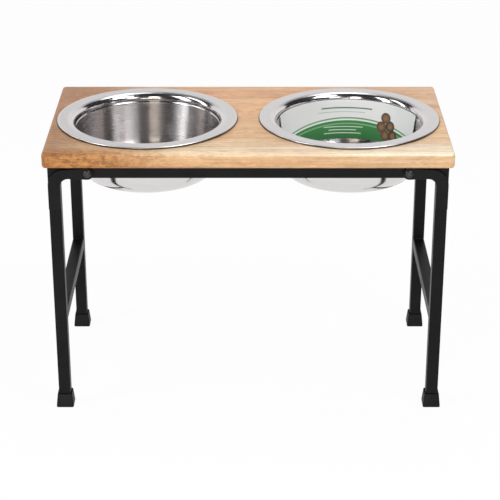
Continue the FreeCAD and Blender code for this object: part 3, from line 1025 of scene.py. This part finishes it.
def printed_biscuits(tree, place, across, up, tone):
    """Pile of round biscuits with crumbly dark edges."""
    crumb = times(tree, noise(tree, stretched(tree, place, (90.0, 24.0, 1.0)), roughness=0.6), 0.05)
    for number, (biscuit_across, biscuit_up) in enumerate(BISCUITS):
        sideways = times(tree, minus(tree, across, biscuit_across), CARD_SHAPE)
        away = long_side(tree, sideways, minus(tree, up, biscuit_up))
        baked = mixed(tree, between(tree, plus(tree, away, crumb), 0.05, 0.14), BISCUIT,
                      BISCUIT_EDGES[number % 2])
        disc = between(tree, away, BISCUIT_RADIUS, BISCUIT_RADIUS - BISCUIT_RIM)
        tone = mixed(tree, disc, tone, baked)
    return tone


def card_print_finish():
    """Printed card: white head, green field under a wave, plain bars and a pile of brown biscuits."""
    finish, tree, surface = new_finish("printed_card")
    place = add(tree, "ShaderNodeUVMap", uv_map="print").outputs[0]
    across, up, _ = split(tree, place)
    tone = printed_bars(tree, across, up, printed_field(tree, across, up))
    tone = printed_biscuits(tree, place, across, up, tone)
    fibre = noise(tree, object_place(tree), 1400.0, roughness=0.6)
    tone = tinted(tree, 1.0, tone, mixed(tree, fibre, *CARD_TINTS))
    join_to(tree, surface, Base_Color=tone, Roughness=spread(tree, fibre, 0.15, 0.32),
            Normal=bumped(tree, fibre, 0.02 * MM, 0.3), Specular_IOR_Level=0.5)
    return finish


def card_back_finish():
    """Unprinted pulp side and cut edges of the card."""
    finish, tree, surface = new_finish("plain_card")
    place = object_place(tree)
    pulp = noise(tree, place, 700.0, detail=5.0, roughness=0.65)
    flecks = between(tree, noise(tree, place, 1600.0, detail=2.0), 0.62, 0.72, most=0.4)
    tone = mixed(tree, flecks, mixed(tree, pulp, *PULP_TONES), PULP_FLECK)
    join_to(tree, surface, Base_Color=tone, Roughness=spread(tree, pulp, 0.2, 0.7),
            Normal=bumped(tree, pulp, 0.05 * MM, 0.5))
    return finish


# Studio

STUDIO_WIDTH = 9.0
STUDIO_DEPTH = 7.0
STUDIO_BACK = 2.3                # distance of the wall behind the object
STUDIO_HEIGHT = 2.3
STUDIO_BEND = 0.8
STUDIO_BEND_STEPS = 12
STUDIO_SMOOTH_ANGLE = math.radians(60)
STUDIO_MATTE = rgb(0.86, 0.86, 0.86)
STUDIO_GLOW_SHARE = 0.95         # the rest shows the lamps' light and the object's shadow
SKY_TINT = rgb(0.9, 0.95, 1.0)
SKY_STRENGTH = 0.04

COOL = (0.93, 0.97, 1.0)
COOLER = (0.90, 0.96, 1.0)
WARM = (1.0, 0.97, 0.93)
WARMER = (1.0, 0.88, 0.75)
BOWL_HEIGHT = 0.33

CAMERA_PLACE = (0.0022, -1.977, 1.047)
CAMERA_TILT = math.radians(65.98)
CAMERA_SENSOR = 36               # in millimetres, like the lens
CAMERA_LENS = 117.9


def studio_finish():
    """White floor and wall: seen and mirrored as white, with some of the lamps' light and the shadow."""
    finish, tree = empty_material("studio_white")
    matte = add(tree, "ShaderNodeBsdfDiffuse", {"Color": STUDIO_MATTE})
    glow = add(tree, "ShaderNodeEmission", {"Color": WHITE, "Strength": 1.0})
    path = add(tree, "ShaderNodeLightPath").outputs
    mirrored = maths(tree, "MAXIMUM", path["Is Glossy Ray"], path["Is Transmission Ray"])
    seen = maths(tree, "MAXIMUM", path["Is Camera Ray"], mirrored)
    share = times(tree, seen, STUDIO_GLOW_SHARE)
    surface = add(tree, "ShaderNodeMixShader", {0: share, 1: matte.outputs[0], 2: glow.outputs[0]})
    add(tree, "ShaderNodeOutputMaterial", {"Surface": surface.outputs[0]})
    return finish


def studio():
    """Floor that sweeps up into a wall behind the object."""
    put_down()
    bpy.ops.mesh.primitive_plane_add(size=1)
    sweep = named("studio_sweep")
    sweep.scale = (STUDIO_WIDTH, STUDIO_DEPTH, 1)
    sweep.location = (0, STUDIO_BACK - STUDIO_DEPTH / 2, 0)
    apply_place()

    def at_back(edge):
        return abs(middle(edge).y - STUDIO_BACK) < MM and middle(edge).z < MM

    edit(sweep)
    choose(sweep, "EDGE", at_back)
    drag((0, 0, STUDIO_HEIGHT))
    choose(sweep, "EDGE", at_back)
    ease(STUDIO_BEND, STUDIO_BEND_STEPS)
    smooth(sweep, STUDIO_SMOOTH_ANGLE)
    sweep.data.materials.append(studio_finish())


def softbox(name, place, width, height, power, colour=(1, 1, 1), aim_height=BOWL_HEIGHT):
    """Soft lamp that points at the object's middle line."""
    put_down()
    bpy.ops.object.light_add(type="AREA", location=place)
    lamp = bpy.context.active_object
    lamp.name = name
    lamp.data.shape = "RECTANGLE"
    lamp.data.size = width
    lamp.data.size_y = height
    lamp.data.energy = power
    lamp.data.color = colour
    aim = Vector((0, 0, aim_height)) - Vector(place)
    lamp.rotation_euler = aim.to_track_quat("-Z", "Y").to_euler()


def lights():
    """Soft key from the front right; strips and panels that show as upright stripes in the bowls."""
    softbox("key_softbox", (1.5, -1.25, 2.6), width=1.25, height=1.05, power=43)
    softbox("rear_softbox", (0.4, 0.75, 2.7), width=1.2, height=0.9, power=18)
    softbox("left_strip", (-1.55, -0.72, 1.35), width=0.4, height=1.6, power=19, colour=COOL,
            aim_height=0.3)
    softbox("left_rear_strip", (-1.53, 0.30, 1.3), width=0.3, height=1.5, power=6)
    softbox("right_panel", (0.75, -1.65, 1.05), width=0.55, height=0.7, power=4, colour=COOLER)
    softbox("front_panel", (-0.50, -2.6, 1.4), width=0.75, height=0.9, power=10, colour=WARMER)
    softbox("front_fill", (-0.2, -2.8, 0.35), width=1.6, height=0.5, power=20, colour=WARM,
            aim_height=0.25)


def sky():
    """White where the camera looks past the studio, and dim as a light."""
    world = bpy.data.worlds.new("dim_studio")
    world.use_nodes = True
    tree = world.node_tree
    tree.nodes.clear()
    dim = add(tree, "ShaderNodeBackground", {"Color": SKY_TINT, "Strength": SKY_STRENGTH})
    white = add(tree, "ShaderNodeBackground", {"Color": WHITE, "Strength": 1.0})
    seen = add(tree, "ShaderNodeLightPath").outputs["Is Camera Ray"]
    light = add(tree, "ShaderNodeMixShader", {0: seen, 1: dim.outputs[0], 2: white.outputs[0]})
    add(tree, "ShaderNodeOutputWorld", {"Surface": light.outputs[0]})
    bpy.context.scene.world = world


def camera():
    put_down()
    bpy.ops.object.camera_add(location=CAMERA_PLACE, rotation=(CAMERA_TILT, 0, 0))
    eye = bpy.context.active_object
    eye.name = "photo_camera"
    eye.data.sensor_width = CAMERA_SENSOR
    eye.data.lens = CAMERA_LENS
    bpy.context.scene.camera = eye


# Put together

def dress(piece, *finishes):
    piece.data.materials.clear()
    for finish in finishes:
        piece.data.materials.append(finish)


def place_piece(piece, body, slot, finishes, *replaced):
    dress(piece, *finishes)
    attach(piece, body)
    if replaced:
        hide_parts(*replaced)


frame_paint = paint_finish("black_powder_paint", rough=0.36, grit=0.035 * MM)
weld_paint = paint_finish("black_painted_weld", rough=0.34, grit=0.08 * MM)
plastic = foot_finish()
zinc = zinc_finish()
black_steel = black_steel_finish()

for name, node in nodes.items():
    if name.endswith(("rail", "leg", "stretcher", "bracket")):
        dress(node, frame_paint)
    elif name in ("board_screws", "pivot_nuts", "pivot_washers"):
        dress(node, zinc)
    elif name == "pivot_bolts":
        dress(node, black_steel)

place_piece(wood_board(), "stand", "wood", [wood_finish()], "wood_top")
for side in SIDES:
    place_piece(bowl(side), f"{side}_bowl", "stainless", [steel_finish(side)], f"{side}_bowl")
    for end in ENDS:
        place_piece(foot_cap(side, end), f"{side}_leg_frame", "foot_plastic", [plastic],
                    f"{side}_{end}_foot")
    for bead in weld_beads(side):
        place_piece(bead, f"{side}_leg_frame", "frame_paint", [weld_paint])
place_piece(card(), "card", "card", [card_print_finish(), card_back_finish()], "card_insert")

studio()
lights()
sky()
camera()
bpy.context.scene.view_settings.view_transform = "Standard"

put_down()
